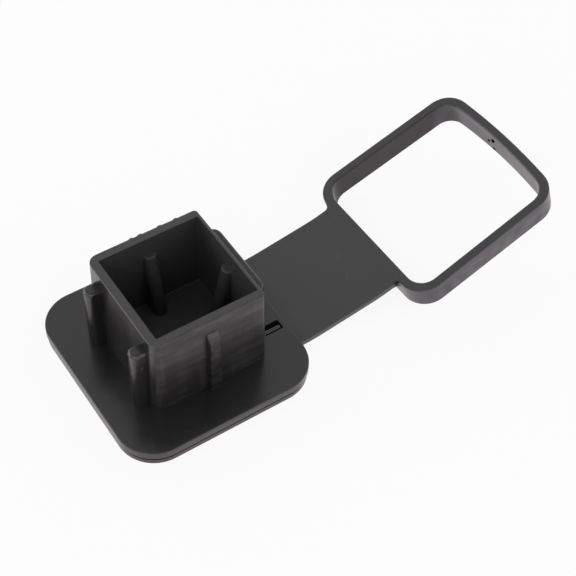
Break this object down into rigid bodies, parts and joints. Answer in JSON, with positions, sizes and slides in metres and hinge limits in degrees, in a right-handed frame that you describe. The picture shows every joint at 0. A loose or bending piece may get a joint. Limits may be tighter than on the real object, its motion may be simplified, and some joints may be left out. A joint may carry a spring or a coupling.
{
  "type": "hitch receiver cover",
  "caption": "Moulded rubber cover for a square hitch receiver: hollow ribbed plug on a rounded flange, with a strap ending in a square retaining loop.",
  "frame": {"origin": "on the flange's flat outer face, in line with the middle of the plug", "axes": "+Z along the plug towards its open mouth, +X along the strap towards the loop, +Y across the strap"},
  "size_m": [0.1828, 0.0763, 0.0398],
  "materials": {
    "black_rubber": "satin black moulded rubber with faint scuffs"
  },
  "bodies": {
    "root": {"receiver_cover": "black_rubber"}
  },
  "joints": []
}
